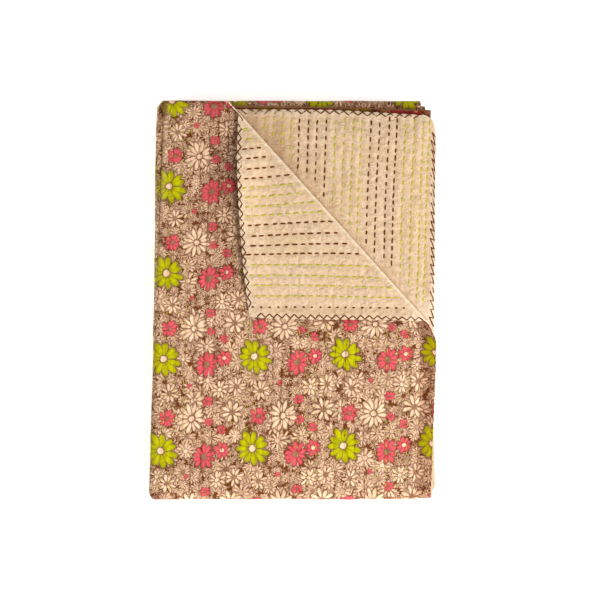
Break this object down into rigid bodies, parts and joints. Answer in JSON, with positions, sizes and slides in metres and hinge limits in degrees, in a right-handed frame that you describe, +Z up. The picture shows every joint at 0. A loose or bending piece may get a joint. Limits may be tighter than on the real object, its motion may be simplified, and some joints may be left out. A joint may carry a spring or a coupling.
{
  "type": "kantha quilt, folded",
  "caption": "Folded throw quilt of two running-stitched cotton cloths, floral front and plain back, with one corner turned back to show the stitches.",
  "frame": {"origin": "centre of the folded quilt's outline, on the surface that it lies on", "axes": "+Z up, +Y along the folded quilt towards its cut edges, +X towards the cut side edges"},
  "size_m": [0.3764, 0.523, 0.0562],
  "materials": {
    "printed_cotton": "matt printed cotton, brown ground with cream, lime green and red-pink daisies",
    "cream_cotton": "matt plain weave in cream",
    "brown_thread": "brown cotton stitching thread",
    "green_thread": "lime green cotton stitching thread"
  },
  "bodies": {
    "root": {"front_panel": "printed_cotton", "back_panel": "cream_cotton"}
  },
  "joints": []
}
